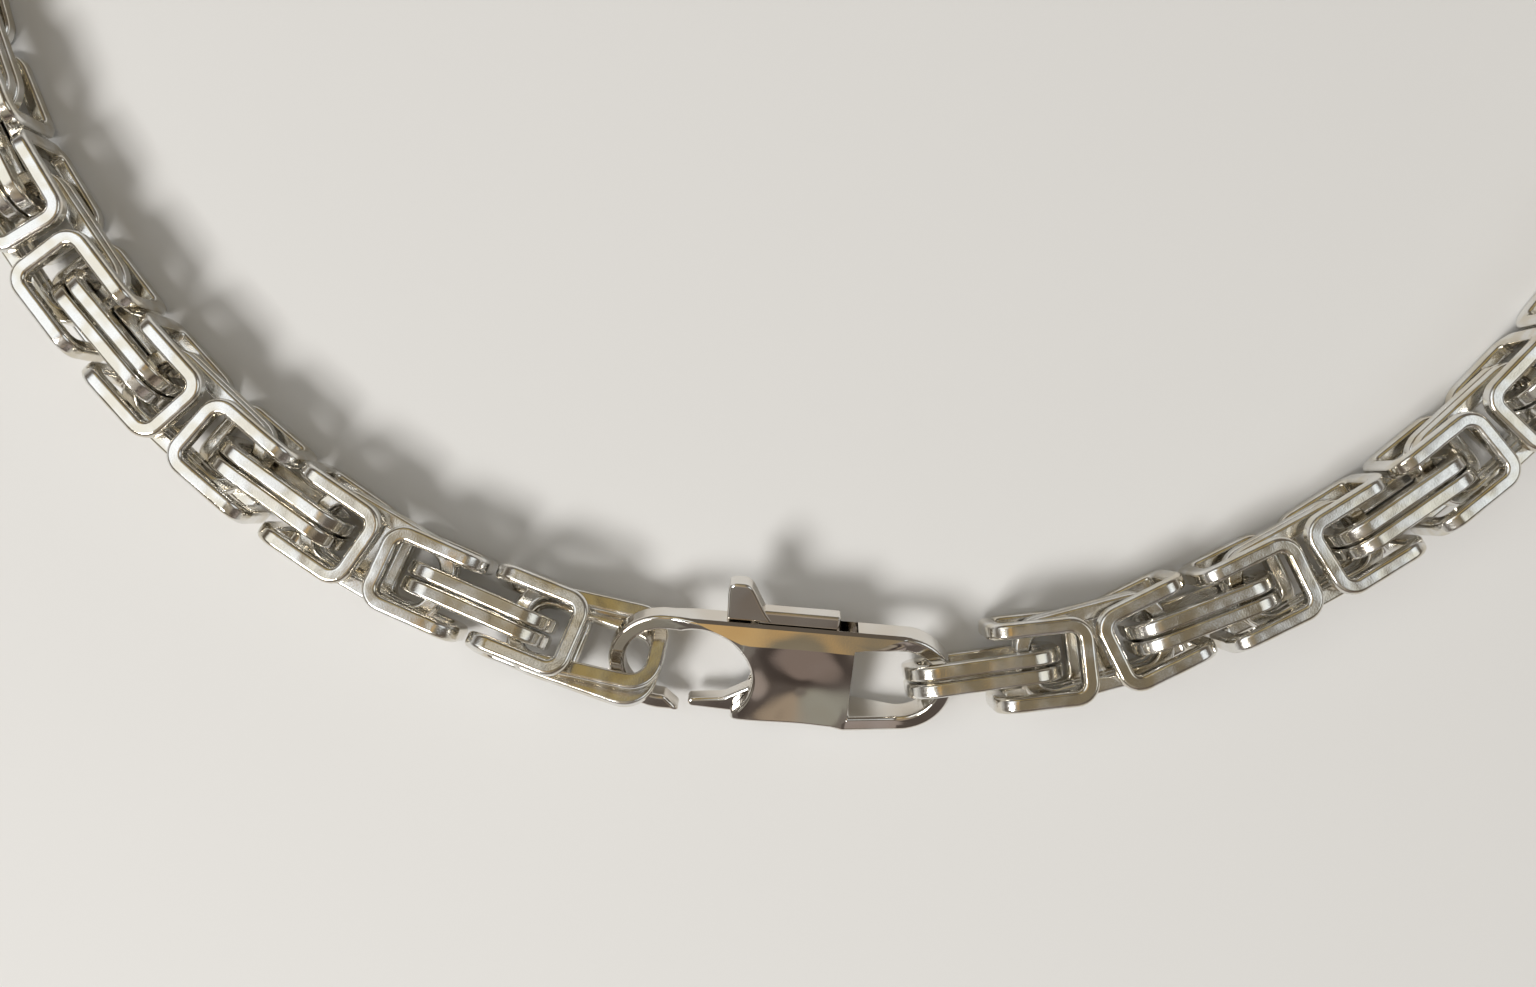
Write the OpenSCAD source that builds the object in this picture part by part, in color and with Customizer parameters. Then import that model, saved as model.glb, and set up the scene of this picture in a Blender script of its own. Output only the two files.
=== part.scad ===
// Byzantine neck chain with a lobster clasp, lying closed in an oval on a flat surface.
// Two kinds of link make the chain. Pairs of flat links stand and lie in turn, each through
// the next, and a closed saddle ring wraps every place where two pairs meet.

/* [Chain] */
// Number of link pairs between the two ends of the clasp, an even number
pair_count = 70; // [66:2:76]
// Distance from the middle of one link pair to the middle of the next
pair_step = 7.65; // [7.5:0.05:7.9]
// Width and height of the square chain
chain_w = 6; // [5.9:0.05:6.3]

/* [Flat links] */
// Width of a flat link's wire, seen on its face
link_wire = 1.1; // [1.0:0.05:1.2]
// Thickness of one flat link
link_t = 1; // [0.85:0.05:1.05]
// Gap between the two flat links of a pair
pair_gap = 0.14; // [0.12:0.02:0.2]
// Play between the end wires of two pairs that hold each other
link_play = 0.75; // [0.6:0.05:0.9]
// Outer corner radius of a flat link
link_corner = 2.2; // [1.8:0.1:2.6]

/* [Saddle rings] */
// Width and thickness of a saddle ring's square wire
saddle_wire = 1.1; // [0.95:0.05:1.15]
// Gap between two saddle rings in line
saddle_gap = 0.65; // [0.6:0.05:0.8]
// Outer corner radius of a saddle ring
saddle_corner = 1.6; // [1.3:0.1:1.9]
// Inner corner radius of a saddle ring
saddle_inner = 0.6; // [0.4:0.1:0.8]

/* [Oval] */
// Direction in degrees in which the chain leaves the clasp
end_turn = 12; // [11.5:0.1:12.5]
// Radius of the chain's middle line round the front
front_r = 64; // [62:1:70]
// Direction in degrees at which the front bend ends
front_turn = 75; // [70:1:80]
// Roll in degrees of the last pair, which the hook holds
end_roll = 23; // [22:0.5:24]
// Share of the roll that passes on from one link to the next
roll_share = 0.6; // [0.55:0.05:0.65]
// Drop of the last pair below the saddle ring that it passes through
end_drop = 0.2; // [0.15:0.05:0.25]
// Turn in degrees by which each flat link of the last pair fans out in its own plane
end_fan = 3.4; // [3:0.2:4]

/* [Clasp] */
// Length of the clasp from hook to ring
clasp_len = 23.4; // [22.8:0.1:24]
// Height of the clasp's body, without the knob
clasp_h = 7.5; // [7.4:0.05:7.7]
// Width of the body between the hook's eye and the ring's hole
body_w = 7.4; // [7.2:0.1:7.6]
// How far the body's lower left corner reaches towards the hook
body_toe = 0.5; // [0.3:0.1:0.6]
// Thickness of the clasp's body
clasp_t = 3; // [2.9:0.1:3.4]
// Thickness of the hook's end, which the last pair hangs on
hook_t = 1.4; // [1.2:0.1:1.4]
// Thickness of the ring's end, which the first pair hangs on
ring_t = 1.8; // [1.6:0.1:1.9]
// Width of the hook's and the ring's wire
clasp_wire = 1.1; // [1:0.05:1.15]
// Play of the first and last pair in the ring's and the hook's eye
eye_play = 1.4; // [1.35:0.05:1.5]
// Gap between the hook's tip and the closed gate
mouth = 0.5; // [0.4:0.05:0.9]
// Depth of the hollow worn into each face of the body
dish = 0.4; // [0.3:0.05:0.45]
// Tilt of the lying clasp about its length, in degrees
clasp_tilt = 26.5; // [26:0.5:27]
// Pitch of the lying clasp, hook end up, in degrees
clasp_pitch = 1; // [0.5:0.5:1.5]
// Turn of the clasp in plan, in degrees
clasp_swing = -1; // [-1.5:0.5:0]

/* [Lever] */
// Thickness of the lever
lever_t = 1.1; // [1:0.05:1.2]
// Gap between the lever and each side of its slot
lever_gap = 0.1; // [0.1:0.02:0.15]
// Diameter of the lever's pin
pin_d = 1.3; // [1.1:0.1:1.5]
// Radial gap between the pin and the lever
pin_play = 0.05; // [0.04:0.01:0.08]
// Radial gap between the pin and the body
pin_seat = 0.03; // [0.02:0.01:0.04]
// Depth to which the pin enters each side of the body
pin_bite = 0.3; // [0.2:0.05:0.35]
// Height of the thumb knob above the body
knob_h = 2.9; // [2.4:0.1:3.2]
// Width of the thumb knob at its top
knob_w = 0.75; // [0.6:0.05:1]
// Height of the lever's flat back above the body
back_h = 0.95; // [0.7:0.05:1.1]
// Turn in degrees by which the lever opens
open_turn = 20; // [18:1:20]

/* [Hidden] */
$fn = 48;
// Cuts reach this far past the faces they cut
past = 1;

// Flat links and saddle rings
link_len = pair_step + 2 * link_wire + link_play;
link_y = (link_t + pair_gap) / 2;
saddle_len = pair_step - saddle_gap;
half_w = chain_w / 2;
// Half of the distance between the middles of the first and the last pair
end_reach = clasp_len / 2 - clasp_wire + link_len / 2 - link_wire - eye_play;

// The oval's right half: a front bend, a long side and a back bend, as arcs that meet smoothly.
// The side's radius follows from the length of the chain, the back's from its width.
half_len = (pair_count - 1) * pair_step / 2;
arc = PI / 180;
side_x = end_reach + front_r * (sin(front_turn) - sin(end_turn));
back_r = side_x / sin(front_turn);
front_len = front_r * (front_turn - end_turn) * arc;
back_len = back_r * front_turn * arc;
side_len = half_len - front_len - back_len;
side_r = side_len / ((180 - 2 * front_turn) * arc);
front_y = front_r * (cos(end_turn) - cos(front_turn));
side_y = front_y + 2 * side_r * cos(front_turn);
back_y = side_y + back_r * (1 - cos(front_turn));

// Place [x, y, direction] of a point that lies s along the right half
function on_arc(x, y, turn, r, s) = let (t = turn + s / r / arc)
    [x + r * (sin(t) - sin(turn)), y + r * (cos(turn) - cos(t)), t];
function right_place(s) =
    s < front_len ? on_arc(end_reach, 0, end_turn, front_r, s) :
    s < front_len + side_len ? on_arc(side_x, front_y, front_turn, side_r, s - front_len) :
    on_arc(side_x, side_y, 180 - front_turn, back_r, s - front_len - side_len);
function mirrored(p) = [-p[0], p[1], 360 - p[2]];
function place(s) = s < half_len ? right_place(s) : mirrored(right_place(2 * half_len - s));

// The roll fades from the last pair to the links before it. A rolled ring stands higher on
// its edge, and the last pair hangs at the height of the ring that it passes through.
function roll(s) = -end_roll * pow(roll_share, (2 * half_len - s) / (pair_step / 2));
last_ring = 2 * half_len - pair_step / 2;
function lift(s) = let (a = abs(roll(min(s, last_ring))))
    half_w * (cos(a) + sin(a)) - (s > last_ring ? end_drop : 0);

// The clasp, drawn flat with its middle at the origin, hook to the left and knob up
clasp_top = clasp_h / 2;
hook_x = clasp_top - clasp_len / 2;
eye_r = clasp_top - clasp_wire;
body_left = hook_x + 5.25;
body_right = body_left + body_w;
// The body's left edge is hollowed by this circle
throat_r = 3.45;
throat = [body_left - 2.7, -0.45];
claw_x = hook_x + 1.3;
// The slot for the lever, and what closes it below and to the right
slot_w = lever_t + 2 * lever_gap;
bridge = 0.95;
slot_left = body_left + 0.4;
bay = [body_left + 3.1, 1.6];
slot_floor = 1.7;
// The lever
pivot = [body_left + 3.9, 0.9];
hub_r = 1.6;
gate_r = 0.34;
gate_tip = [claw_x + mouth + gate_r, gate_r + 0.33 - clasp_top];
back_x = pivot[0] + 2.4;
knob_x = pivot[0] - 5.15;
knob_gap = 0.12;
soft = 0.25;
// Where the back's corner comes to when the lever is open
back_corner = [back_x, clasp_top + back_h] - pivot;
slot_right = pivot[0] + back_corner[0] * cos(open_turn) + back_corner[1] * sin(open_turn)
    + lever_gap;
// The hollow in each face
dish_r = 14;
dish_x = body_left + 4.1;

// The clasp rests on its lower edge, half way between the chain's two ends
clasp_x = -0.2;
clasp_y = -0.85;
clasp_z = clasp_top * sin(clasp_tilt) + clasp_t / 2 * cos(clasp_tilt)
    + body_right * sin(clasp_pitch);

// The origin is under the middle of the whole necklace
front_edge = -4.89;
middle_y = (back_y + half_w + front_edge) / 2;

module rounded(len, width, r) {
    square([len, width - 2 * r], center = true);
    square([len - 2 * r, width], center = true);
    for (x = [-1, 1], y = [-1, 1])
        translate([x * (len / 2 - r), y * (width / 2 - r)]) circle(r);
}

// Bar with square corners at its left end and round ones at its right end
module half_rounded(left, right, width, r) {
    translate([left, -width / 2]) square([right - left - r, width]);
    translate([left, r - width / 2]) square([right - left, width - 2 * r]);
    for (y = [-1, 1]) translate([right - r, y * (width / 2 - r)]) circle(r);
}

// One flat link in the XY plane
module flat_link() {
    linear_extrude(link_t, center = true) difference() {
        rounded(link_len, chain_w, link_corner);
        rounded(link_len - 2 * link_wire, chain_w - 2 * link_wire, link_corner - link_wire);
    }
}

// Two flat links side by side, lying in the XY plane, fanned out from their left ends
module link_pair(fan = 0) {
    heel = link_wire - link_len / 2;
    for (side = [-1, 1])
        translate([heel, 0, side * link_y]) rotate([0, 0, side * fan]) translate([-heel, 0, 0])
            flat_link();
}

// Outline and window of a saddle ring's face, closed at its right end
module saddle_face() {
    half_rounded(-saddle_len / 2, saddle_len / 2, chain_w, saddle_corner);
}
module saddle_window() {
    half_rounded(-saddle_len / 2 - past, saddle_len / 2 - saddle_wire,
        chain_w - 2 * saddle_wire, saddle_inner);
}

// Saddle ring: its top and bottom are closed at the right end, its two sides at the left
module saddle() {
    deep = chain_w + 2 * past;
    difference() {
        intersection() {
            linear_extrude(chain_w, center = true) saddle_face();
            rotate([90, 0, 0]) linear_extrude(chain_w, center = true)
                mirror([1, 0]) saddle_face();
        }
        linear_extrude(deep, center = true) saddle_window();
        rotate([90, 0, 0]) linear_extrude(deep, center = true) mirror([1, 0]) saddle_window();
    }
}

// Puts a link on the oval, s along it from the first pair
module on_chain(s) {
    p = place(s);
    translate([p[0], p[1] - middle_y, lift(s)]) rotate([0, 0, p[2]]) rotate([roll(s), 0, 0])
        children();
}

// Pairs first to last, the even ones standing, and the saddle ring that follows each
module chain(first, last) {
    for (i = [first : last]) on_chain(i * pair_step)
        rotate([i % 2 == 0 ? 90 : 0, 0, 0]) link_pair(i == pair_count - 1 ? end_fan : 0);
    for (i = [first : min(last, pair_count - 2)]) on_chain((i + 0.5) * pair_step)
        rotate([i % 2 == 0 ? 0 : 90, 0, 0]) saddle();
}
module chain_right() { color("silver") chain(0, pair_count / 2 - 1); }
module chain_left() { color("silver") chain(pair_count / 2, pair_count - 1); }

module on_clasp() {
    translate([clasp_x, clasp_y - middle_y, clasp_z]) rotate([0, 0, clasp_swing])
        rotate([0, clasp_pitch, 0]) rotate([clasp_tilt, 0, 0]) children();
}

// Outline of the whole clasp, with a round hook end and a round ring end
module clasp_outline() {
    for (side = [-1, 1]) translate([side * hook_x, 0]) circle(clasp_top);
    square([-2 * hook_x, clasp_h], center = true);
}
module ring_hole() {
    translate([-hook_x, 0]) circle(eye_r);
    translate([body_right, -eye_r]) square([-hook_x - body_right, 2 * eye_r]);
}
// The hook's eye, the body's hollow left edge and the mouth between hook tip and body
module hook_hole() {
    translate([hook_x, 0]) circle(eye_r);
    translate([hook_x, 0]) square([throat[0] - hook_x, eye_r]);
    translate(throat) circle(throat_r);
    polygon([
        [claw_x, -clasp_top - past], [claw_x, -clasp_top], [claw_x - 1.1, -eye_r],
        [hook_x, 0], throat, [body_left - body_toe, throat[1] - 2.6],
        [body_left - body_toe, -clasp_top - past]
    ]);
}
// Seen from above, the clasp tapers from its body to the ends of the hook and the ring
module clasp_plan() {
    side = [
        [-clasp_len / 2 - past, hook_t / 2], [hook_x + 0.6, hook_t / 2], [body_left, clasp_t / 2],
        [body_right, clasp_t / 2], [-hook_x + 0.2, ring_t / 2], [clasp_len / 2 + past, ring_t / 2]
    ];
    polygon(concat(side, [for (i = [len(side) - 1 : -1 : 0]) [side[i][0], -side[i][1]]]));
}
module lever_slot() {
    linear_extrude(slot_w, center = true) {
        translate([throat[0], -clasp_h]) square([bay[0] - throat[0], clasp_h + bay[1]]);
        translate([slot_left, bridge - clasp_top])
            square([body_right - bridge - slot_left, 2 * clasp_h]);
        translate([slot_left, slot_floor]) square([slot_right - slot_left, clasp_h]);
    }
}
module clasp_body() {
    color("silver") on_clasp() difference() {
        intersection() {
            linear_extrude(clasp_t + past, center = true) difference() {
                clasp_outline();
                ring_hole();
                hook_hole();
            }
            rotate([90, 0, 0]) linear_extrude(clasp_h + past, center = true) clasp_plan();
        }
        lever_slot();
        translate(pivot) cylinder(d = pin_d + 2 * pin_seat,
            h = slot_w + 2 * (pin_bite + pin_seat), center = true);
        for (side = [-1, 1])
            translate([dish_x, 0, side * (clasp_t / 2 - dish + dish_r)]) rotate([90, 0, 0])
                cylinder(r = dish_r, h = clasp_h + 2 * past, center = true, $fn = 128);
    }
}

// Lever in one piece: the gate runs down to the hook's tip, the thumb knob and the flat back
// stand above the body
module lever_plate() {
    above = clasp_top + knob_gap;
    knob_top = clasp_top + knob_h;
    back_top = clasp_top + back_h;
    translate(pivot) cylinder(r = hub_r, h = lever_t, center = true);
    translate(gate_tip) cylinder(r = gate_r, h = lever_t, center = true);
    linear_extrude(lever_t, center = true) polygon([
        gate_tip + [0, gate_r], gate_tip + [2.05, 0.6], pivot - [3.1, 2.2],
        pivot - [hub_r / 2, 0], pivot - [0, hub_r / 2], pivot - [1.1, 3.3],
        [body_left + 0.1, 0.2 - clasp_top], gate_tip - [0, gate_r]
    ]);
    linear_extrude(lever_t, center = true) polygon([
        pivot - [hub_r / 2, 0], [slot_left + 0.35, above], [knob_x + soft, above],
        [knob_x, above + soft], [knob_x + 0.1, knob_top - 2 * soft],
        [knob_x + 2 * soft, knob_top], [knob_x + 2 * soft + knob_w, knob_top],
        [knob_x + 4 * soft + knob_w, knob_top - 2.4 * soft], [pivot[0] - 2.3, back_top],
        [back_x - soft, back_top], [back_x, back_top - soft], [back_x, clasp_top - 0.3],
        pivot + [hub_r / 2, 0]
    ]);
}
module clasp_lever() {
    color("silver") on_clasp() difference() {
        lever_plate();
        translate(pivot) cylinder(d = pin_d + 2 * pin_play, h = lever_t + 2 * past,
            center = true);
    }
}

module clasp_pin() {
    color("gray") on_clasp() translate(pivot)
        cylinder(d = pin_d, h = slot_w + 2 * pin_bite, center = true);
}

chain_right();
chain_left();
clasp_body();
clasp_lever();
clasp_pin();
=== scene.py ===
"""Looks of a byzantine neck chain with a lobster clasp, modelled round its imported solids.

Links and clasp parts are modelled in millimetres at the origin and then placed in metres.
"""

import logging
import math
import random
from dataclasses import dataclass, field
from enum import Enum
from typing import Callable, Sequence

import bpy
from mathutils import Matrix, Vector


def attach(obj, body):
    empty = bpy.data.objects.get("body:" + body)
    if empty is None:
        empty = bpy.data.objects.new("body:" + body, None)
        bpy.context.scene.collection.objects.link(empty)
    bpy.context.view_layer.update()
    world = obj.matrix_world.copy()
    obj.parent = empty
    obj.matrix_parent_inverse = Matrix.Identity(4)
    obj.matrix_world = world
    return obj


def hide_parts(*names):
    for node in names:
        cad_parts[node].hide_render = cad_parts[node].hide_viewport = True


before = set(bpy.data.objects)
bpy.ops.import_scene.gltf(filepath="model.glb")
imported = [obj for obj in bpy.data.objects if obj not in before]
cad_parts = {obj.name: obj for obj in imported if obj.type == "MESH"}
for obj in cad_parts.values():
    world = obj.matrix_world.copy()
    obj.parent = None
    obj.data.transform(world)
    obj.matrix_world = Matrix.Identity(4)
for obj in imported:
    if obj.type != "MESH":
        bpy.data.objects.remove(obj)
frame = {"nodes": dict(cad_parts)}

MM = 0.001
QUARTER = math.pi / 2
LOG = logging.getLogger("necklace")

# Angles in degrees: edges sharper than the first are rounded, a rounded corner turns by about the
# second over all its steps, and edges sharper than the third stay sharp in a fine mesh's shading.
SHARP_EDGE = 35.0
CORNER_TURN = 100.0
FINE_ANGLE = 12.5

# An edge lies along an axis above the first cosine, and a face looks along one above the second.
ALONG = 0.999
FACING = 0.9

# Points of an outline nearer than this many millimetres are one.
SAME_POINT = 0.01
NORMAL_WEIGHT = 80


class Detail(Enum):
    """How finely a link is modelled: (steps in a corner, steps across an edge)."""

    FRONT = (8, 3)
    BACK = (4, 2)


class Lie(Enum):
    """How a link sits on the chain, as a quarter turn about the chain's own line."""

    FLAT = 0
    ON_EDGE = 1


class Slot(Enum):
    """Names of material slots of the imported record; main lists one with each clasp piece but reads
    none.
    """

    CHAIN = "chain_steel"
    CLASP = "clasp_steel"
    LEVER = "lever_steel"


class Part(Enum):
    """Kinds of mesh parts: (name of the mesh's list, name of its select mode)."""

    VERTICES = ("vertices", "VERT")
    EDGES = ("edges", "EDGE")
    FACES = ("polygons", "FACE")


class Merge(Enum):
    """Ways in which one closed shape changes another."""

    JOIN = "UNION"
    CUT = "DIFFERENCE"
    KEEP_COMMON = "INTERSECT"


# Modelling by operator


def select_only(*objects: bpy.types.Object) -> None:
    """Selects these objects alone and makes the first one active.

    Args:
        objects: what to select; none clears the selection.
    """
    bpy.ops.object.select_all(action="DESELECT")
    for item in objects:
        item.select_set(True)
    bpy.context.view_layer.objects.active = objects[0] if objects else None


def edit(item: bpy.types.Object, kind: Part = Part.FACES) -> None:
    """Opens an object in edit mode with nothing selected.

    Args:
        item: the mesh object to open.
        kind: the parts that are selected next.
    """
    select_only(item)
    bpy.ops.object.mode_set(mode="EDIT")
    bpy.ops.mesh.select_mode(type=kind.value[1])
    bpy.ops.mesh.select_all(action="DESELECT")


def pick(item: bpy.types.Object, kind: Part, test: Callable[[object], bool]) -> None:
    """Selects the parts of an open mesh that pass a test, and nothing else.

    Args:
        item: the object that is in edit mode.
        kind: the parts that are tested.
        test: says of one vertex, edge or face whether it is selected.
    """
    parts, mode = kind.value
    bpy.ops.object.mode_set(mode="OBJECT")
    hits = [part.index for part in getattr(item.data, parts) if test(part)]
    bpy.ops.object.mode_set(mode="EDIT")
    bpy.ops.mesh.select_mode(type=mode)
    bpy.ops.mesh.select_all(action="DESELECT")
    bpy.ops.object.mode_set(mode="OBJECT")
    for index in hits:
        getattr(item.data, parts)[index].select = True
    bpy.ops.object.mode_set(mode="EDIT")


def close_edit() -> None:
    """Leaves edit mode."""
    bpy.ops.object.mode_set(mode="OBJECT")


def along(mesh: bpy.types.Mesh, edge: bpy.types.MeshEdge, axis: int) -> bool:
    """Says whether an edge runs along one axis."""
    start, end = (mesh.vertices[i].co for i in edge.vertices)
    return abs((end - start).normalized()[axis]) > ALONG


def fix_transform(item: bpy.types.Object) -> None:
    """Moves an object's place, turn and scale into its mesh."""
    select_only(item)
    bpy.ops.object.transform_apply(location=True, rotation=True, scale=True)


def block(name: str, size: Sequence[float], centre: Sequence[float]) -> bpy.types.Object:
    """Adds a box primitive.

    Args:
        name: name of the object.
        size: length along X, Y and Z.
        centre: middle of the box.

    Returns:
        The box, with its place in its mesh.
    """
    select_only()
    bpy.ops.mesh.primitive_cube_add(size=1, location=centre, scale=size)
    item = bpy.context.object
    item.name = name
    fix_transform(item)
    return item


def round_bar(
    name: str, radius: float, depth: float, centre: Sequence[float], sides: int = 32
) -> bpy.types.Object:
    """Adds a cylinder primitive that stands along Z.

    Args:
        name: name of the object.
        radius: its radius.
        depth: its length.
        centre: its middle.
        sides: number of sides.

    Returns:
        The cylinder, with its place in its mesh.
    """
    select_only()
    bpy.ops.mesh.primitive_cylinder_add(
        vertices=sides, radius=radius, depth=depth, location=centre
    )
    item = bpy.context.object
    item.name = name
    fix_transform(item)
    return item


def arc(centre: Vector, radius: float, start: float, end: float, steps: int) -> list[Vector]:
    """Gives points along an arc, both ends included.

    Args:
        centre: its centre.
        radius: its radius.
        start: angle at which it starts.
        end: angle at which it ends.
        steps: number of steps between the two.

    Returns:
        The points.
    """
    turns = [start + (end - start) * i / steps for i in range(steps + 1)]
    return [centre + radius * Vector((math.cos(t), math.sin(t))) for t in turns]


def prism(name: str, points: Sequence[Vector], depth: float) -> bpy.types.Object:
    """Shapes a filled circle's corners into an outline and extrudes it.

    Args:
        name: name of the object.
        points: corners of the outline in the XY plane, counterclockwise.
        depth: its length along Z, half of it below the plane.

    Returns:
        The closed shape.
    """
    select_only()
    bpy.ops.mesh.primitive_circle_add(
        vertices=len(points), fill_type="NGON", location=(0, 0, -depth / 2)
    )
    item = bpy.context.object
    item.name = name
    fix_transform(item)
    edit(item, Part.VERTICES)
    for index, point in enumerate(points):
        pick(item, Part.VERTICES, lambda v: v.index == index)
        way = point - item.data.vertices[index].co.xy
        bpy.ops.transform.translate(value=(*way, 0))
    bpy.ops.mesh.select_all(action="SELECT")
    bpy.ops.mesh.remove_doubles(threshold=SAME_POINT)
    bpy.ops.mesh.extrude_region_move(TRANSFORM_OT_translate={"value": (0, 0, depth)})
    bpy.ops.mesh.select_all(action="SELECT")
    bpy.ops.mesh.normals_make_consistent(inside=False)
    close_edit()
    return item


def apply_modifier(item: bpy.types.Object, kind: str, **settings: object) -> None:
    """Adds a modifier and applies it at once.

    Args:
        item: the object that it works on.
        kind: Blender's name of the modifier's type.
        settings: the modifier's values.
    """
    select_only(item)
    modifier = item.modifiers.new(kind.title(), kind)
    for name, value in settings.items():
        setattr(modifier, name, value)
    bpy.ops.object.modifier_apply(modifier=modifier.name)


def combine(item: bpy.types.Object, other: bpy.types.Object, way: Merge) -> None:
    """Changes one closed shape by another, which is used up.

    Args:
        item: the shape that is changed.
        other: the cutter or the addition.
        way: how it is changed.
    """
    apply_modifier(item, "BOOLEAN", object=other, operation=way.value, solver="EXACT")
    bpy.data.objects.remove(other)


def soften(item: bpy.types.Object, width: float, steps: int) -> None:
    """Rounds an object's sharp edges over and keeps its flat faces flat in shading.

    Args:
        item: the object.
        width: width of the rounding.
        steps: number of steps across it.
    """
    apply_modifier(
        item, "BEVEL", width=width, segments=steps, limit_method="ANGLE",
        angle_limit=math.radians(SHARP_EDGE), use_clamp_overlap=False, loop_slide=True,
    )
    shade(item, max(CORNER_TURN / steps, FINE_ANGLE))


def shade(item: bpy.types.Object, angle: float) -> None:
    """Shades an object smooth, with normals weighted by the size of the faces.

    Args:
        item: the object.
        angle: edges sharper than this many degrees stay sharp.
    """
    select_only(item)
    bpy.ops.object.shade_smooth_by_angle(angle=math.radians(angle))
    apply_modifier(item, "WEIGHTED_NORMAL", keep_sharp=True, weight=NORMAL_WEIGHT)


# The chain


@dataclass
class Oval:
    """Middle line of the chain, as it lies, in millimetres.

    The right half is a front bend, a long side and a back bend, as arcs that meet smoothly.
    """

    pair_count: int = 70
    pair_step: float = 7.65
    half_w: float = 3.0
    end_turn: float = math.radians(12)
    front_r: float = 64.0
    front_turn: float = math.radians(75)
    end_reach: float = 13.4
    end_roll: float = math.radians(23)
    roll_share: float = 0.6
    end_drop: float = 0.2
    front_edge: float = -4.89

    def __post_init__(self) -> None:
        """Works out the arcs from the chain's length and width."""
        sine, cosine = math.sin(self.front_turn), math.cos(self.front_turn)
        self.half_len = (self.pair_count - 1) * self.pair_step / 2
        self.side_x = self.end_reach + self.front_r * (sine - math.sin(self.end_turn))
        self.back_r = self.side_x / sine
        self.front_len = self.front_r * (self.front_turn - self.end_turn)
        self.side_len = self.half_len - self.front_len - self.back_r * self.front_turn
        self.side_r = self.side_len / (math.pi - 2 * self.front_turn)
        self.front_y = self.front_r * (math.cos(self.end_turn) - cosine)
        self.side_y = self.front_y + 2 * self.side_r * cosine
        self.back_y = self.side_y + self.back_r * (1 - cosine)
        self.middle_y = (self.back_y + self.half_w + self.front_edge) / 2

    def right_place(self, s: float) -> tuple[float, float, float]:
        """Gives the point and direction that lie s along the right half.

        Args:
            s: distance along the middle line from the first pair.

        Returns:
            X, Y and the direction in radians.
        """
        if s < self.front_len:
            x, y, turn, r = self.end_reach, 0.0, self.end_turn, self.front_r
        elif s < self.front_len + self.side_len:
            x, y, turn, r = self.side_x, self.front_y, self.front_turn, self.side_r
            s -= self.front_len
        else:
            x, y, turn, r = self.side_x, self.side_y, math.pi - self.front_turn, self.back_r
            s -= self.front_len + self.side_len
        now = turn + s / r
        return x + r * (math.sin(now) - math.sin(turn)), y + r * (math.cos(turn) - math.cos(now)), now

    def roll(self, s: float) -> float:
        """Gives the roll about the chain's line, which fades away from the last pair."""
        return -self.end_roll * self.roll_share ** ((2 * self.half_len - s) / (self.pair_step / 2))

    def at(self, s: float) -> Matrix:
        """Gives the placement, in millimetres, of a link that lies s along the chain.

        Args:
            s: distance along the middle line from the first pair.

        Returns:
            The link's matrix, with X along the chain.
        """
        if s < self.half_len:
            x, y, turn = self.right_place(s)
        else:
            x, y, turn = self.right_place(2 * self.half_len - s)
            x, turn = -x, 2 * math.pi - turn
        last_ring = 2 * self.half_len - self.pair_step / 2
        lean = abs(self.roll(min(s, last_ring)))
        height = self.half_w * (math.cos(lean) + math.sin(lean))
        height -= self.end_drop if s > last_ring else 0
        place = Matrix.Translation((x, y - self.middle_y, height))
        return place @ Matrix.Rotation(turn, 4, "Z") @ Matrix.Rotation(self.roll(s), 4, "X")


@dataclass
class FlatLink:
    """Flat link: a rounded rectangular frame stamped from sheet, in millimetres."""

    length: float = 10.6
    width: float = 6.0
    wire: float = 1.1
    thick: float = 1.0
    corner: float = 2.2
    edge: float = 0.22

    def build(self, detail: Detail) -> bpy.types.Mesh:
        """Models the link in the XY plane round the origin.

        Args:
            detail: how finely it is modelled.

        Returns:
            Its mesh.
        """
        corner_steps, edge_steps = detail.value
        item = block("flat_link", (self.length, self.width, self.thick), (0, 0, 0))
        edit(item, Part.EDGES)
        pick(item, Part.EDGES, lambda e: along(item.data, e, 2))
        bpy.ops.mesh.bevel(offset=self.corner, segments=corner_steps, clamp_overlap=False)
        pick(item, Part.FACES, lambda f: abs(f.normal.z) > FACING)
        bpy.ops.mesh.inset(thickness=self.wire, use_even_offset=True)
        bpy.ops.mesh.bridge_edge_loops()
        close_edit()
        soften(item, self.edge, edge_steps)
        mesh = item.data
        bpy.data.objects.remove(item)
        return mesh


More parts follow.
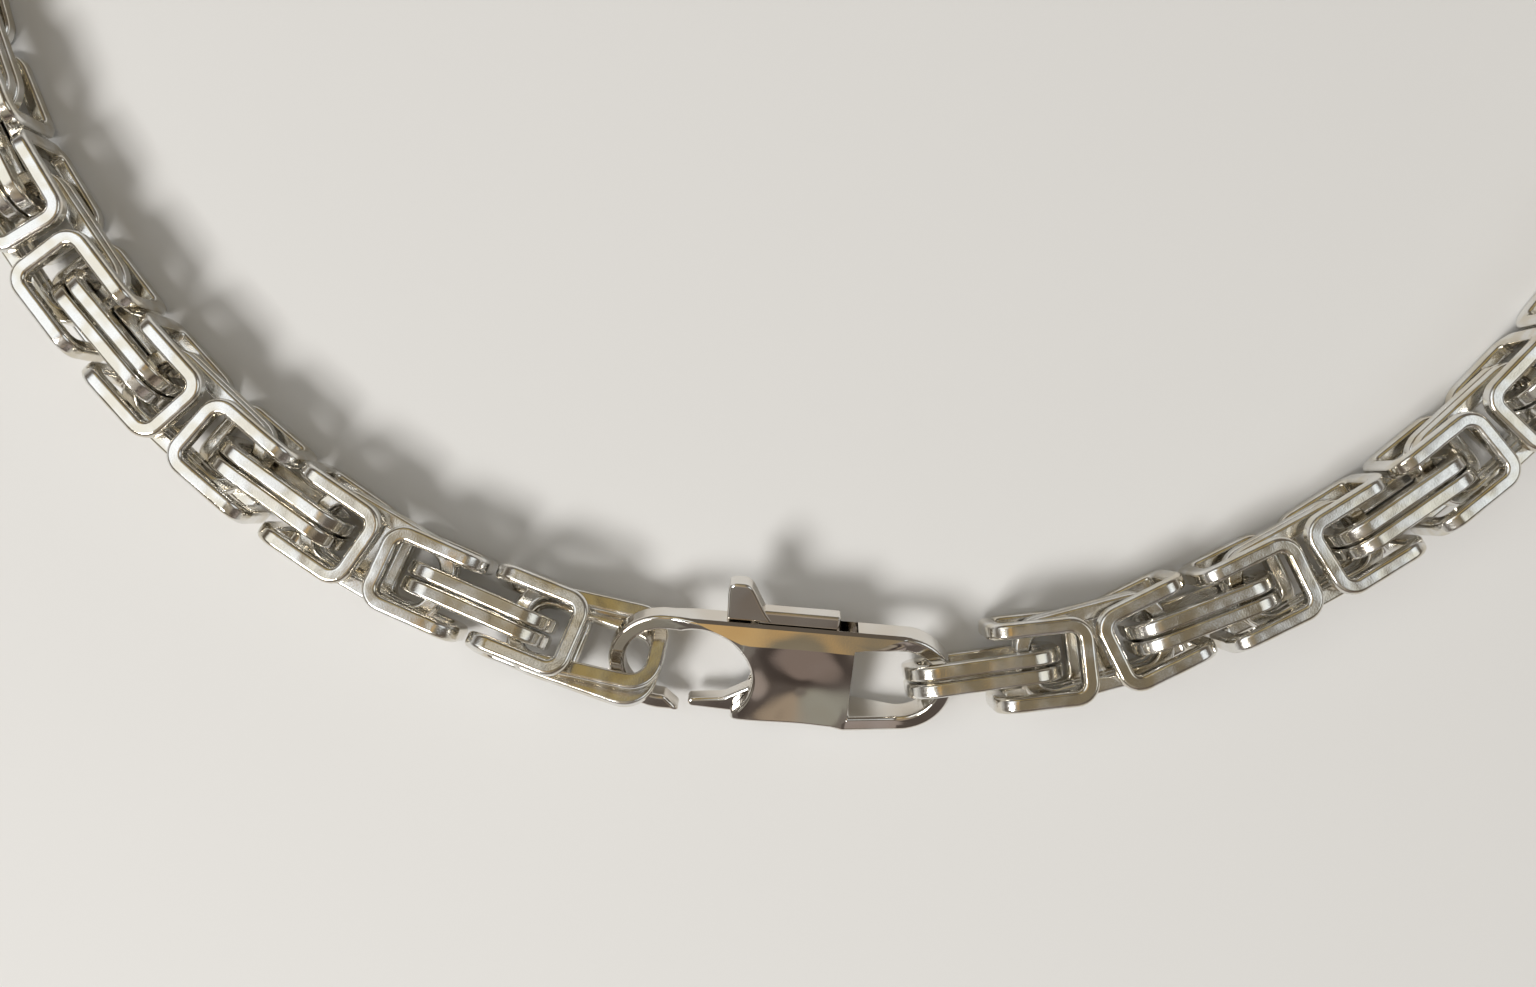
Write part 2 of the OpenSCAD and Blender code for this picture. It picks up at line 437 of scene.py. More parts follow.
@dataclass
class SaddleRing:
    """Saddle ring: a closed square-wire ring folded over the place where two pairs meet.

    Its top and bottom are closed at the right end and its two sides at the left end. Points nearer
    than weld are merged. Sizes are in millimetres.
    """

    length: float = 7.0
    width: float = 6.0
    wire: float = 1.1
    corner: float = 1.6
    edge: float = 0.31
    weld: float = 0.011

    def build(self, detail: Detail) -> bpy.types.Mesh:
        """Models the ring round the origin: one quarter is swept, then mirrored twice.

        Args:
            detail: how finely it is modelled.

        Returns:
            Its mesh.
        """
        steps, edge_steps = detail.value
        half_l, half_w = self.length / 2, self.width / 2
        bend_y, bend_x = half_w - self.corner, half_l - self.corner
        select_only()
        bpy.ops.mesh.primitive_plane_add(
            size=self.wire, location=(half_l - self.wire / 2, 0, half_w - self.wire / 2),
            rotation=(QUARTER, 0, 0),
        )
        item = bpy.context.object
        item.name = "saddle_ring"
        fix_transform(item)
        edit(item)
        bpy.ops.mesh.select_all(action="SELECT")
        bpy.ops.mesh.extrude_region_move(TRANSFORM_OT_translate={"value": (0, bend_y, 0)})
        bpy.ops.mesh.spin(
            steps=steps, angle=-QUARTER, center=(bend_x, bend_y, 0), axis=(0, 0, 1)
        )
        bpy.ops.mesh.extrude_region_move(TRANSFORM_OT_translate={"value": (-2 * bend_x, 0, 0)})
        bpy.ops.mesh.spin(
            steps=steps, angle=QUARTER, center=(-bend_x, 0, half_w - self.corner), axis=(0, 1, 0)
        )
        bpy.ops.mesh.extrude_region_move(
            TRANSFORM_OT_translate={"value": (0, 0, self.corner - half_w)}
        )
        mesh = item.data
        pick(item, Part.FACES, lambda f: any(
            all(abs(mesh.vertices[v].co[axis]) < self.weld for v in f.vertices) for axis in (1, 2)
        ))
        bpy.ops.mesh.delete(type="FACE")
        close_edit()
        apply_modifier(
            item, "MIRROR", use_axis=(False, True, True), use_mirror_merge=True,
            merge_threshold=self.weld,
        )
        edit(item)
        bpy.ops.mesh.select_all(action="SELECT")
        bpy.ops.mesh.remove_doubles(threshold=self.weld)
        bpy.ops.mesh.normals_make_consistent(inside=False)
        close_edit()
        soften(item, self.edge, edge_steps)
        bpy.data.objects.remove(item)
        return mesh


@dataclass
class Chain:
    """The chain's links, placed on the oval and joined into two halves."""

    oval: Oval = field(default_factory=Oval)
    flat: FlatLink = field(default_factory=FlatLink)
    ring: SaddleRing = field(default_factory=SaddleRing)
    pair_gap: float = 0.14
    end_fan: float = math.radians(3.4)
    front_pairs: int = 10
    ring_sway: float = 1.6
    pair_sway: float = 0.8
    seed: int = 11
    turned: dict[int, float] = field(
        default_factory=lambda: {0: -5.0, 1: 8.0, 2: 1.0, 67: 2.5, 68: -2.5}
    )

    def __post_init__(self) -> None:
        """Models each kind of link once at each detail, and draws how far each one sways."""
        draw = random.Random(self.seed)
        self.ring_turn = [draw.uniform(-1, 1) * self.ring_sway for _ in range(self.oval.pair_count)]
        self.pair_turn = [draw.uniform(-1, 1) * self.pair_sway for _ in range(self.oval.pair_count)]
        for index, turn in self.turned.items():
            self.ring_turn[index] = turn
        self.pair_turn[0] = self.pair_turn[-1] = 0
        self.flat_mesh = {d: self.flat.build(d) for d in Detail}
        self.ring_mesh = {d: self.ring.build(d) for d in Detail}

    def detail(self, index: int) -> Detail:
        """Says how finely the links of one pair are modelled."""
        near = min(index, self.oval.pair_count - 1 - index)
        return Detail.FRONT if near < self.front_pairs else Detail.BACK

    def copy(self, mesh: bpy.types.Mesh, place: Matrix) -> bpy.types.Object:
        """Puts a copy of a link's mesh on the chain.

        Args:
            mesh: the link, in millimetres.
            place: its matrix, in millimetres.

        Returns:
            The new object, in metres, with its place in its mesh.
        """
        own = mesh.copy()
        own.transform(Matrix.Scale(MM, 4) @ place)
        item = bpy.data.objects.new("link", own)
        bpy.context.scene.collection.objects.link(item)
        return item

    def pair(self, index: int) -> list[bpy.types.Object]:
        """Places the two flat links of one pair; the last pair is fanned out.

        Args:
            index: number of the pair along the chain.

        Returns:
            The two links.
        """
        lie = Lie.ON_EDGE if index % 2 == 0 else Lie.FLAT
        fan = self.end_fan if index == self.oval.pair_count - 1 else 0
        heel = Matrix.Translation((self.flat.wire - self.flat.length / 2, 0, 0))
        sway = Matrix.Rotation(math.radians(self.pair_turn[index]), 4, "Z")
        here = self.oval.at(index * self.oval.pair_step) @ sway @ Matrix.Rotation(
            lie.value * QUARTER, 4, "X"
        )
        links = []
        for side in (-1, 1):
            apart = Matrix.Translation((0, 0, side * (self.flat.thick + self.pair_gap) / 2))
            turn = heel @ Matrix.Rotation(side * fan, 4, "Z") @ heel.inverted()
            links.append(self.copy(self.flat_mesh[self.detail(index)], here @ apart @ turn))
        return links

    def saddle(self, index: int) -> bpy.types.Object:
        """Places the saddle ring that follows one pair.

        Args:
            index: number of the pair along the chain.

        Returns:
            The ring.
        """
        lie = Lie.FLAT if index % 2 == 0 else Lie.ON_EDGE
        here = self.oval.at((index + 0.5) * self.oval.pair_step)
        sway = Matrix.Rotation(math.radians(self.ring_turn[index]), 4, "Z")
        turn = sway @ Matrix.Rotation(lie.value * QUARTER, 4, "X")
        return self.copy(self.ring_mesh[self.detail(index)], here @ turn)

    def build(self, name: str, first: int, last: int) -> bpy.types.Object:
        """Places the pairs first to last, and the ring after each, and joins them.

        Args:
            name: name of the joined piece.
            first: number of its first pair.
            last: number of its last pair.

        Returns:
            The piece.
        """
        links = [link for i in range(first, last + 1) for link in self.pair(i)]
        links += [self.saddle(i) for i in range(first, min(last + 1, self.oval.pair_count - 1))]
        select_only(*links)
        bpy.ops.object.join()
        item = bpy.context.object
        item.name = name
        return item


# The clasp


@dataclass
class ClaspFrame:
    """Sizes that the clasp's parts share, flat in its own plane, hook left and knob up.

    The hook's eye and the ring have their centres on the X axis. The body starts at body_start,
    counted from the hook's centre. The throat and the pivot are counted from the body's left edge.
    """

    length: float = 23.4
    height: float = 7.5
    thick: float = 3.0
    wire: float = 1.1
    claw: float = 1.3
    body_start: float = 5.25
    body_w: float = 7.4
    throat_r: float = 3.45
    throat_back: float = 2.7
    throat_y: float = -0.45
    pivot_in: float = 3.9
    pivot_y: float = 0.9
    pin_d: float = 1.36
    lever_thick: float = 1.1
    lever_gap: float = 0.1
    back_h: float = 0.95
    back_end: float = 3.6
    open_turn: float = math.radians(20)
    tilt: float = math.radians(26.5)
    pitch: float = math.radians(1)
    swing: float = math.radians(-1)
    offset: tuple[float, float] = (-0.2, -0.85)

    def __post_init__(self) -> None:
        """Works out the places that the parts share."""
        self.top = self.height / 2
        self.hook_x = self.top - self.length / 2
        self.eye_r = self.top - self.wire
        self.left = self.hook_x + self.body_start
        self.right = self.left + self.body_w
        self.throat = Vector((self.left - self.throat_back, self.throat_y, 0))
        self.claw_x = self.hook_x + self.claw
        self.pivot = Vector((self.left + self.pivot_in, self.pivot_y, 0))
        self.slot_w = self.lever_thick + 2 * self.lever_gap

    def on_chain(self, oval: Oval) -> Matrix:
        """Gives the placement, in metres, of the clasp lying between the chain's ends.

        Args:
            oval: the chain's middle line.

        Returns:
            The matrix that takes the clasp's own millimetres to the necklace's metres.
        """
        rise = self.top * math.sin(self.tilt) + self.thick / 2 * math.cos(self.tilt)
        rise += self.right * math.sin(self.pitch)
        place = Matrix.Translation((self.offset[0], self.offset[1] - oval.middle_y, rise))
        turn = Matrix.Rotation(self.swing, 4, "Z") @ Matrix.Rotation(self.pitch, 4, "Y")
        return Matrix.Scale(MM, 4) @ place @ turn @ Matrix.Rotation(self.tilt, 4, "X")


@dataclass(frozen=True)
class Slope:
    """Sloping cut along the clasp's top edge: its tilt, and the Y and Z of a point on it."""

    tilt: float
    start: float
    rise: float


@dataclass
class ClaspBody:
    """Hook, body and ring of the clasp, cast in one.

    A bottom step parts the body from the ring at the seam. The toe is the body's lower left corner,
    foot_drop is its depth below the throat's centre.
    """

    frame: ClaspFrame
    end_thick: float = 1.4
    ring_thick: float = 1.8
    hook_run: float = 0.6
    ring_run: float = 0.2
    toe: float = 0.5
    foot_drop: float = 2.6
    claw_cut: float = 0.075
    seam_in: float = 0.6
    seam_run: float = 0.4
    bottom_step: float = 0.14
    slopes: tuple[Slope, ...] = (
        Slope(math.radians(27), 2.5, 1.5), Slope(math.radians(62), 3.6, 0.94),
    )
    edge: float = 0.26
    edge_steps: int = 8
    outer_steps: int = 40
    inner_steps: int = 32
    throat_steps: int = 36
    grid: float = 0.3
    dish_depth: float = 0.45
    dish_reach: float = 4.5
    dish_x: float = 0.4
    dish_y: float = -0.6
    slot_in: float = 0.4
    slot_wall: float = 0.95
    slot_floor: float = 1.7
    gate_in: float = 3.1
    gate_top: float = 1.6
    bore_wall: float = 0.33
    past: float = 1.0

    def outline(self) -> list[Vector]:
        """Gives the outline, with the eye of the hook and the throat open at the mouth.

        Returns:
            Its points, counterclockwise from the seam under the body's right edge.
        """
        f = self.frame
        low = -f.top
        seam = f.right - self.seam_in
        eye, end = Vector((f.hook_x, 0)), Vector((-f.hook_x, 0))
        throat = f.throat.xy
        rise = math.asin((f.eye_r - throat.y) / f.throat_r)
        foot = math.atan2(-self.foot_drop, f.throat_back - self.toe)
        return [
            Vector((seam - self.seam_run, low + self.bottom_step)), Vector((seam + self.seam_run, low)),
            *arc(end, f.top, -QUARTER, QUARTER, self.outer_steps),
            *arc(eye, f.top, QUARTER, 3 * QUARTER, self.outer_steps),
            Vector((f.claw_x, low)),
            *arc(eye, f.eye_r, 3 * QUARTER + self.claw_cut, QUARTER, self.inner_steps),
            *arc(throat, f.throat_r, math.pi - rise, foot, self.throat_steps),
            Vector((f.left - self.toe, low + self.bottom_step)),
        ]

    def plan(self) -> list[Vector]:
        """Gives the outline seen from above: it tapers towards the hook and the ring.

        Returns:
            Its points, counterclockwise.
        """
        f = self.frame
        far = f.length / 2 + self.past
        side = [
            (-far, self.end_thick), (f.hook_x + self.hook_run, self.end_thick), (f.left, f.thick),
            (f.right, f.thick), (self.ring_run - f.hook_x, self.ring_thick), (far, self.ring_thick),
        ]
        front = [Vector((x, -thick / 2)) for x, thick in side]
        back = [Vector((x, thick / 2)) for x, thick in side]
        return front + back[::-1]

    def cut_shoulders(self, item: bpy.types.Object) -> None:
        """Slopes both faces down along the top edge, which is chamfered as well.

        Args:
            item: the body, in the clasp's plane.
        """
        f = self.frame
        size = (2 * f.length, f.height, f.thick)
        for side in (-1, 1):
            for slope in self.slopes:
                cutter = block("slope", size, (0, 0, side * f.thick / 2))
                cutter.rotation_euler = (-side * slope.tilt, 0, 0)
                cutter.location = (0, slope.start, side * slope.rise)
                fix_transform(cutter)
                combine(item, cutter, Merge.CUT)

    def cut_slot(self, item: bpy.types.Object) -> None:
        """Cuts the lever's slot and the pin's bore.

        The slot is a bay for the gate, a room above the bottom wall and an opening on top, which
        gives the back's corner room when the lever is open.

        Args:
            item: the whole body.
        """
        f = self.frame
        start = f.left + self.slot_in
        corner = Vector((f.back_end, f.top + f.back_h)) - f.pivot.xy
        reach = corner.x * math.cos(f.open_turn) + corner.y * math.sin(f.open_turn) + f.lever_gap
        cuts = (
            (f.throat.x, f.left + self.gate_in, -f.height, self.gate_top),
            (start, f.right - self.slot_wall, self.slot_wall - f.top, f.height),
            (start, f.pivot.x + reach, self.slot_floor, f.height),
        )
        for x0, x1, y0, y1 in cuts:
            size = (x1 - x0, y1 - y0, f.slot_w)
            cutter = block("slot", size, ((x0 + x1) / 2, (y0 + y1) / 2, 0))
            combine(item, cutter, Merge.CUT)
        bore = round_bar("bore", f.pin_d / 2, f.slot_w + 2 * self.bore_wall, f.pivot)
        combine(item, bore, Merge.CUT)

    def press_dish(self, item: bpy.types.Object) -> None:
        """Hollows both faces like a shallow spoon: they are cut into a grid and pressed in.

        Args:
            item: the body, before its slot is cut.
        """
        f = self.frame
        middle = Vector(((f.left + f.right) / 2 + self.dish_x, self.dish_y, 0))
        edit(item)
        for axis, low, high in ((0, f.left - self.toe, f.right), (1, -f.top, f.top)):
            steps = round((high - low) / self.grid)
            for step in range(1, steps):
                at, way = [0, 0, 0], [0, 0, 0]
                at[axis], way[axis] = low + (high - low) * step / steps, 1
                bpy.ops.mesh.select_all(action="SELECT")
                bpy.ops.mesh.bisect(plane_co=at, plane_no=way)
        for side in (-1, 1):
            goal = middle + Vector((0, 0, side * f.thick / 2))
            near = min(item.data.vertices, key=lambda v: (v.co - goal).length).index
            pick(item, Part.VERTICES, lambda v: v.index == near)
            bpy.ops.transform.translate(
                value=(0, 0, -side * self.dish_depth), use_proportional_edit=True,
                proportional_edit_falloff="SMOOTH", proportional_size=self.dish_reach,
                use_proportional_connected=True,
            )
        close_edit()

    def build(self) -> bpy.types.Object:
        """Models the body.

        Returns:
            The body, in the clasp's plane.
        """
        f = self.frame
        item = prism("clasp_body_cast", self.outline(), f.thick + self.past)
        end = Vector((-f.hook_x, 0))
        hole = [
            Vector((f.right, -f.eye_r)), *arc(end, f.eye_r, -QUARTER, QUARTER, self.inner_steps),
            Vector((f.right, f.eye_r)),
        ]
        combine(item, prism("hole", hole, 2 * f.thick), Merge.CUT)
        plan = prism("plan", self.plan(), 2 * f.height)
        plan.rotation_euler = (QUARTER, 0, 0)
        fix_transform(plan)
        combine(item, plan, Merge.KEEP_COMMON)
        soften(item, self.edge, self.edge_steps)
        self.cut_shoulders(item)
        self.press_dish(item)
        self.cut_slot(item)
        shade(item, FINE_ANGLE)
        return item


@dataclass
class ClaspLever:
    """Lever in one piece: gate, hub, thumb knob and flat back.

    Its corners are offsets: the heel and the waist from the body's left edge, the hub's foot and the
    arm's bend from the pivot, the gate's neck from the centre of its round tip.
    """

    frame: ClaspFrame
    mouth: float = 0.5
    gate_r: float = 0.34
    gate_rise: float = 0.33
    gate_neck: tuple[float, float] = (2.05, 0.6)
    heel: tuple[float, float] = (0.1, 0.2)
    hub_r: float = 1.6
    hub_foot: tuple[float, float] = (-1.1, -3.3)
    arm_bend: tuple[float, float] = (-3.1, -2.2)
    waist: float = 0.75
    back_drop: float = 0.3
    knob_x: float = -3.95
    knob_h: float = 2.9
    knob_thick: float = 1.3
    knob_root: float = 1.0
    knob_crown: tuple[float, float] = (1.05, 0.5)
    gap: float = 0.12
    bore_gap: float = 0.02
    edge: float = 0.2
    edge_steps: int = 8
    arc_steps: int = 12

    def outline(self) -> list[Vector]:
        """Gives the outline without the knob: gate, arm, hub and flat back.

        Returns:
            Its points, counterclockwise from the gate's lower side.
        """
        f = self.frame
        low, back_top = f.top + self.gap, f.top + f.back_h
        root = self.knob_x + self.knob_root
        pivot = f.pivot.xy
        tip = Vector((f.claw_x + self.mouth + self.gate_r, self.gate_r + self.gate_rise - f.top))
        return [
            Vector((f.left, -f.top)) + Vector(self.heel), pivot + Vector(self.hub_foot),
            *arc(pivot, self.hub_r, -QUARTER, 0, self.arc_steps),
            Vector((f.back_end, f.top - self.back_drop)), Vector((f.back_end, back_top)),
            Vector((root, back_top)), Vector((root, low)),
            Vector((f.left + self.waist, low)), pivot + Vector((-self.hub_r, 0)),
            pivot + Vector(self.arm_bend), tip + Vector(self.gate_neck),
            *arc(tip, self.gate_r, QUARTER, 3 * QUARTER, self.arc_steps),
        ]

    def knob(self) -> list[Vector]:
        """Gives the thumb knob's outline: upright on the left, hollow on the right.

        Returns:
            Its points, counterclockwise from its lower left corner.
        """
        corner = Vector((self.knob_x, self.frame.top + self.gap))
        right = (
            (0.0, 0.0), (3.1, 0.0), (2.86, 0.28), (2.62, 0.62), (2.42, 0.95), (2.22, 1.32),
            (2.02, 1.7), (1.84, 2.05), (1.66, 2.35), (1.5, 2.56), (1.3, 2.71),
        )
        crown = tuple((x, self.knob_h - self.gap) for x in self.knob_crown)
        left = ((0.26, 2.76), (0.08, 2.6), (0.0, 2.36), (-0.04, 1.8), (0.0, 1.0))
        return [corner + Vector(point) for point in right + crown + left]

    def build(self) -> bpy.types.Object:
        """Models the lever.

        Returns:
            The lever, in the clasp's plane.
        """
        f = self.frame
        item = prism("clasp_lever_polished", self.outline(), f.lever_thick)
        soften(item, self.edge, self.edge_steps)
        knob = prism("knob", self.knob(), self.knob_thick)
        soften(knob, self.edge, self.edge_steps)
        combine(item, knob, Merge.JOIN)
        combine(item, round_bar("bore", f.pin_d / 2 + self.bore_gap, 2 * f.thick, f.pivot), Merge.CUT)
        shade(item, FINE_ANGLE)
        return item


# Finishes


class Level:
    """Number at a shader socket, on which Python's operators add Math nodes."""

    def __init__(self, sheet: "Sheet", socket: bpy.types.NodeSocket) -> None:
        """Wraps a socket of one node sheet."""
        self.sheet = sheet
        self.socket = socket

    def _math(self, operation: str, first: object, second: object) -> "Level":
        """Adds one Math node.

        Args:
            operation: the node's operation.
            first: its first value, a Level or a number.
            second: its second value.

        Returns:
            The node's result.
        """
        made = self.sheet.add("ShaderNodeMath", {"operation": operation}, {0: first, 1: second})
        return Level(self.sheet, made.outputs[0])

    def __add__(self, other: object) -> "Level":
        """Sum."""
        return self._math("ADD", self, other)

    __radd__ = __add__

    def __mul__(self, other: object) -> "Level":
        """Product."""
        return self._math("MULTIPLY", self, other)

    __rmul__ = __mul__


class Sheet:
    """Node tree of a material or of the world, filled by code."""

    def __init__(self, tree: bpy.types.NodeTree) -> None:
        """Clears the tree."""
        self.tree = tree
        tree.nodes.clear()

    def add(self, kind: str, settings: dict, sockets: dict) -> bpy.types.Node:
        """Adds one node.

        Args:
            kind: the node's type.
            settings: its own settings, set before its sockets.
            sockets: value or link of each input, by name or number.

        Returns:
            The node.
        """
        made = self.tree.nodes.new(kind)
        for name, value in settings.items():
            setattr(made, name, value)
        for name, value in sockets.items():
            value = value.socket if isinstance(value, Level) else value
            if isinstance(value, bpy.types.NodeSocket):
                self.tree.links.new(value, made.inputs[name])
            else:
                made.inputs[name].default_value = value
        return made

    def ramp(self, level: object, low: float, high: float) -> Level:
        """Stretches a level so that low becomes 0 and high becomes 1.

        Args:
            level: the level to stretch.
            low: what becomes 0.
            high: what becomes 1.

        Returns:
            The stretched level, held between 0 and 1.
        """
        made = self.add(
            "ShaderNodeMapRange", {"clamp": True, "interpolation_type": "SMOOTHSTEP"},
            {0: level, 1: low, 2: high, 3: 0.0, 4: 1.0},
        )
        return Level(self, made.outputs[0])

    def blend(self, factor: object, first: object, second: object) -> bpy.types.NodeSocket:
        """Mixes two colours.

        Args:
            factor: share of the second colour.
            first: a colour or a colour's socket.
            second: another one.

        Returns:
            The mixed colour's socket.
        """
        made = self.add("ShaderNodeMix", {"data_type": "RGBA"}, {0: factor, 6: first, 7: second})
        return made.outputs[2]


@dataclass(frozen=True)
class PolishedSteel:
    """Bright stainless steel: polished, then tumbled and finely scratched in wear.

    Its colour goes from dark to light in clouds. Cloud and speck say how many of each there are in a
    millimetre, wave and pit how high they stand in millimetres, polish is the least roughness and
    wear what is added to it. The spans are the stretches of the noise that they are drawn from.
    """

    name: str
    light: tuple[float, float, float]
    dark: tuple[float, float, float]
    polish: float
    wear: float
    cloud: float
    wave: float
    pit: float
    speck: float = 9.0
    cloud_span: tuple[float, float] = (0.38, 0.62)
    speck_span: tuple[float, float] = (0.35, 0.65)
    cloud_least: float = 0.35
    speck_least: float = 0.4
    cloud_turn: float = 0.4
    speck_turn: float = 1.1
    lean: float = 0.3
    noise_rough: float = 0.6

    def noise(self, sheet: Sheet, turn: float, scale: float) -> Level:
        """Adds a noise on the piece's own coordinates.

        Args:
            sheet: the material's nodes.
            turn: turn of the pattern about X and Z in radians.
            scale: how many features there are in a millimetre.

        Returns:
            The noise, from 0 to 1.
        """
        where = sheet.add("ShaderNodeTexCoord", {}, {}).outputs["Object"]
        placed = sheet.add("ShaderNodeMapping", {"vector_type": "POINT"}, {
            "Vector": where, "Rotation": (turn, self.lean * turn, turn), "Scale": (scale / MM,) * 3,
        })
        made = sheet.add("ShaderNodeTexNoise", {}, {
            "Vector": placed.outputs[0], "Scale": 1.0, "Detail": 1.0, "Roughness": self.noise_rough,
        })
        return Level(sheet, made.outputs[0])

    def build(self) -> bpy.types.Material:
        """Makes the material.

        Returns:
            The material.
        """
        material = bpy.data.materials.new(self.name)
        material.use_nodes = True
        sheet = Sheet(material.node_tree)
        cloud = self.noise(sheet, self.cloud_turn, self.cloud)
        speck = self.noise(sheet, self.speck_turn, self.speck)
        patch = sheet.ramp(cloud, *self.cloud_span)
        grain = sheet.ramp(speck, *self.speck_span)
        colour = sheet.blend(patch, (*self.dark, 1), (*self.light, 1))
        worn = self.cloud_least + (1 - self.cloud_least) * patch
        rough = self.polish + self.wear * worn * (self.speck_least + (1 - self.speck_least) * grain)
        height = cloud * self.wave + speck * self.pit
        bump = sheet.add("ShaderNodeBump", {}, {"Strength": 1.0, "Distance": MM, "Height": height})
        shader = sheet.add("ShaderNodeBsdfPrincipled", {}, {
            "Base Color": colour, "Metallic": 1.0, "Roughness": rough, "Normal": bump.outputs[0],
        })
        sheet.add("ShaderNodeOutputMaterial", {}, {"Surface": shader.outputs[0]})
        return material

    def dress(self, item: bpy.types.Object) -> None:
        """Puts the finish on every slot of a piece.

        Args:
            item: the piece.
        """
        material = self.build()
        if not item.material_slots:
            item.data.materials.append(material)
        for place in item.material_slots:
            place.material = material


CHAIN_STEEL = PolishedSteel(
    "chain_steel", light=(0.80, 0.79, 0.76), dark=(0.70, 0.65, 0.55), polish=0.09, wear=0.15,
    cloud=0.55, wave=0.07, pit=0.0042,
)
CLASP_STEEL = PolishedSteel(
    "clasp_steel", light=(0.80, 0.78, 0.74), dark=(0.74, 0.69, 0.62), polish=0.06, wear=0.05,
    cloud=0.25, wave=0.05, pit=0.0008,
)


# The studio


@dataclass
class Softbox:
    """Square area light that points at the middle of the view."""

    name: str = "key"
    azimuth: float = 225
    height: float = 52
    distance: float = 0.7
    size: float = 0.22
    power: float = 3.6
    colour: tuple[float, float, float] = (1.0, 0.98, 0.95)

    def build(self, aim: Vector) -> bpy.types.Object:
        """Places the light.

        Args:
            aim: the point that it looks at.

        Returns:
            The light.
        """
        way = direction(self.azimuth, self.height)
        data = bpy.data.lights.new(self.name, "AREA")
        data.shape, data.size = "SQUARE", self.size
        data.energy, data.color = self.power, self.colour
        item = bpy.data.objects.new(self.name, data)
        bpy.context.scene.collection.objects.link(item)
        item.location = aim + way * self.distance
        item.rotation_euler = way.to_track_quat("Z", "Y").to_euler()
        return item


def direction(azimuth: float, height: float) -> Vector:
    """Gives the unit vector towards an azimuth, counted from X, and a height, in degrees."""
    turn, rise = math.radians(azimuth), math.radians(height)
    return Vector((math.cos(turn) * math.cos(rise), math.sin(turn) * math.cos(rise), math.sin(rise)))


@dataclass(frozen=True)
class Glow:
    """Soft round patch of the room's ceiling or walls: its place, its two radii and its colour.

    It is full within the inner radius and gone at the outer one. All angles are in degrees.
    """

    azimuth: float
    height: float
    inner: float
    outer: float
    colour: tuple[float, float, float]


@dataclass
class Room:
    """Room round the table, as world light: bright walls, a dim warm ceiling and soft patches.

    The walls turn into the ceiling over the wall span, and the patches fade out over the low span,
    both as heights of the unit direction. A later patch covers an earlier one.
    """

    ceiling: tuple[float, float, float] = (0.13, 0.11, 0.09)
    wall: tuple[float, float, float] = (0.55, 0.54, 0.52)
    wall_span: tuple[float, float] = (0.10, 0.34)
    low_span: tuple[float, float] = (0.08, 0.2)
    glows: tuple[Glow, ...] = (
        Glow(272, 34, 16, 38, (0.115, 0.095, 0.085)),
        Glow(282, 44, 5, 14, (0.40, 0.325, 0.25)),
        Glow(259, 39, 5, 14, (0.33, 0.315, 0.265)),
        Glow(272, 33, 1, 6, (0.20, 0.175, 0.155)),
        Glow(274, 11, 12, 19, (0.07, 0.056, 0.05)),
        Glow(260, 15, 5, 10, (0.23, 0.185, 0.165)),
        Glow(271, 9, 9, 14, (0.25, 0.20, 0.18)),
        Glow(300, 24, 5, 12, (0.38, 0.325, 0.30)),
        Glow(274, 66, 9, 20, (0.37, 0.325, 0.27)),
        Glow(290, 46, 2, 8, (0.06, 0.048, 0.045)),
        Glow(310, 84, 6, 22, (0.25, 0.215, 0.155)),
        Glow(235, 85, 2, 11, (0.62, 0.41, 0.18)),
        Glow(105, 52, 8, 20, (0.42, 0.33, 0.15)),
        Glow(170, 56, 12, 26, (1.2, 1.24, 1.27)),
        Glow(126, 79, 2, 7, (0.40, 0.36, 0.28)),
        Glow(98, 71, 2, 7, (0.75, 0.73, 0.67)),
        Glow(5, 50, 9, 22, (1.05, 1.1, 1.12)),
    )

    def build(self) -> None:
        """Makes the world."""
        world = bpy.data.worlds.new("room")
        world.use_nodes = True
        bpy.context.scene.world = world
        sheet = Sheet(world.node_tree)
        way = sheet.add("ShaderNodeTexCoord", {}, {}).outputs["Generated"]
        parts = sheet.add("ShaderNodeSeparateXYZ", {}, {0: way})
        rise = Level(sheet, parts.outputs[2])
        over_wall = sheet.ramp(rise, *self.wall_span)
        colour = sheet.blend(over_wall, (*self.wall, 1), (*self.ceiling, 1))
        for glow in self.glows:
            facing = sheet.add(
                "ShaderNodeVectorMath", {"operation": "DOT_PRODUCT"},
                {0: way, 1: direction(glow.azimuth, glow.height)},
            )
            share = sheet.ramp(
                Level(sheet, facing.outputs["Value"]),
                math.cos(math.radians(glow.outer)), math.cos(math.radians(glow.inner)),
            )
            share *= sheet.ramp(rise, *self.low_span)
            colour = sheet.blend(share, colour, (*glow.colour, 1))
        back = sheet.add("ShaderNodeBackground", {}, {"Color": colour, "Strength": 1.0})
        sheet.add("ShaderNodeOutputWorld", {}, {"Surface": back.outputs[0]})


